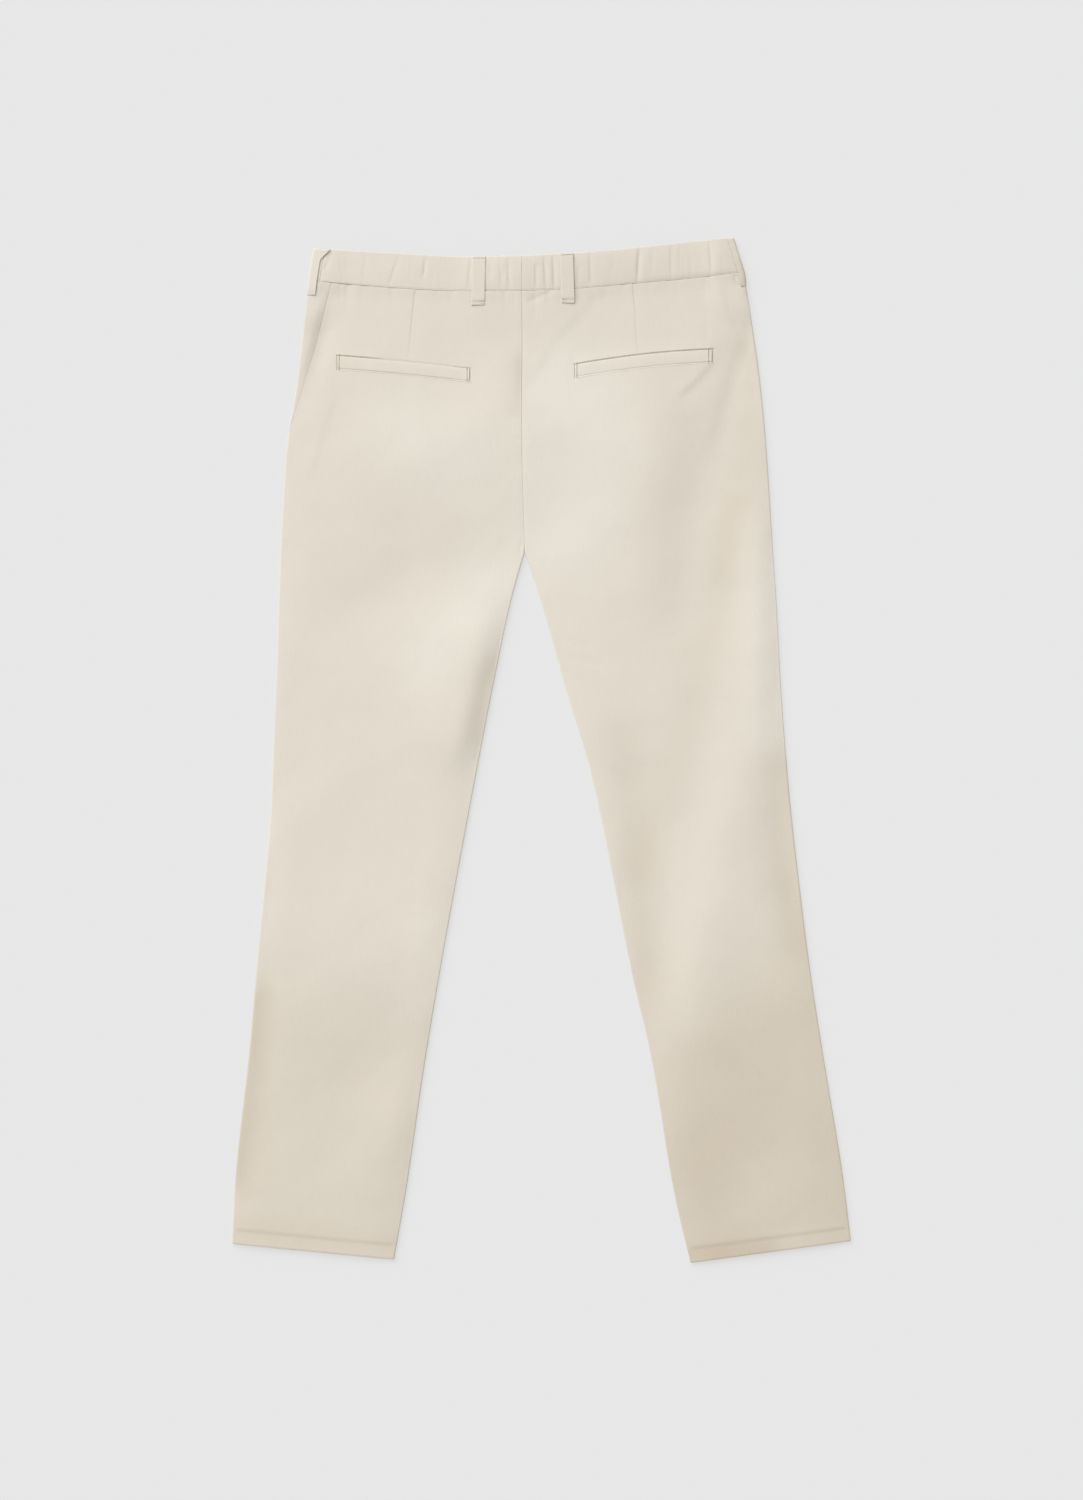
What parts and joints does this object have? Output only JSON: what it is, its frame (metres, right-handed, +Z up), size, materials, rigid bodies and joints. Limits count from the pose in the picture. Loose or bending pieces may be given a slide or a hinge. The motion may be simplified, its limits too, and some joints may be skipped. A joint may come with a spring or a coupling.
{
  "type": "chino trousers",
  "caption": "Straight-leg chino trousers laid flat with the back up: gathered waistband, belt loops, darts and welt pockets.",
  "frame": {"origin": "centre of the bounding box, on the surface the trousers lie on", "axes": "+X to the right as seen from above, +Y from the hems to the waist, +Z up, away from the surface"},
  "size_m": [0.65, 1.076, 0.0109],
  "materials": {
    "twill": "matt cotton twill",
    "zip_tape": "matt woven tape",
    "button": "satin"
  },
  "bodies": {
    "root": {"back_left_panel": "twill", "back_right_panel": "twill", "front_left_panel": "twill", "front_right_panel": "twill", "waistband_back_left": "twill", "waistband_back_right": "twill", "waistband_front_left": "twill", "waistband_front_right": "twill", "back_left_loop": "twill", "back_right_loop": "twill", "side_left_loop": "twill", "side_right_loop": "twill", "front_left_loop": "twill", "front_right_loop": "twill", "back_left_welt": "twill", "back_right_welt": "twill", "fly_shield": "twill", "fly_zip": "zip_tape", "waist_button": "button"}
  },
  "joints": []
}
